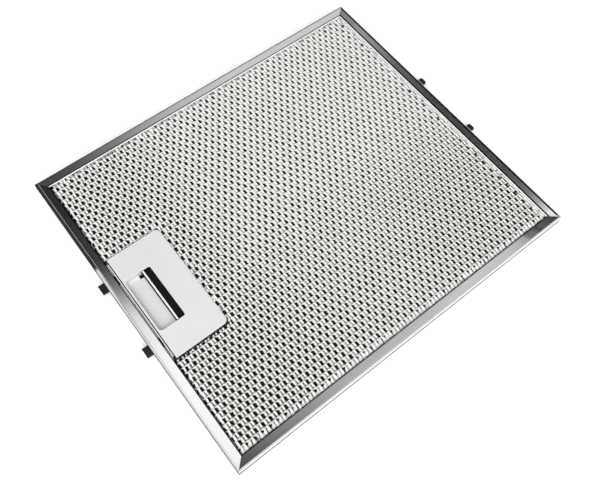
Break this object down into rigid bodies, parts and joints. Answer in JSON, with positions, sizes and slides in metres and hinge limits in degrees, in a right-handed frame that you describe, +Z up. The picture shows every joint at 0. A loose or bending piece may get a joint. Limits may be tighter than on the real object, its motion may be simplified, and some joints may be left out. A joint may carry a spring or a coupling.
{
  "type": "cooker hood filter",
  "caption": "Flat rectangular cooker hood grease filter: folded metal frame, layered expanded aluminium mesh, sprung latch with finger recess on one edge, fixed tabs on the opposite edge",
  "frame": {"origin": "centre of the underside: middle of the frame in X and Y, on the plane it lies on", "axes": "+X from the latch edge to the fixed-tab edge, +Y along the latch edge, +Z up through the filter, finger recess facing +Z"},
  "size_m": [0.3186, 0.2676, 0.009],
  "materials": {
    "frame_metal": "bright rolled strip, lightly brushed along each rail",
    "mesh": "bright expanded foil",
    "handle_grey": "light grey, fine satin",
    "handle_dark": "black, fine satin",
    "latch_steel": "black finish, bare bright at the tongue noses and blade edge",
    "spring_steel": "drawn wire",
    "bracket_steel": "plated sheet with dark tab ends"
  },
  "bodies": {
    "filter_body": {"frame": "frame_metal", "front_mesh": "mesh", "inner_mesh_1": "mesh", "inner_mesh_2": "mesh", "rear_mesh": "mesh", "handle_plate": "handle_grey", "handle_back": "handle_dark", "tab_bracket": "bracket_steel", "spring_1": "spring_steel", "spring_2": "spring_steel"},
    "latch": {"latch_slide": "latch_steel"}
  },
  "joints": [
    {"name": "latch_slide_x", "type": "slide", "parent": "filter_body", "child": "latch", "axis": [1, 0, 0], "range_m": [0, 0.005], "stiffness_N_per_m": 800, "springref_m": -0.004, "deforming": ["spring_1", "spring_2"]}
  ]
}
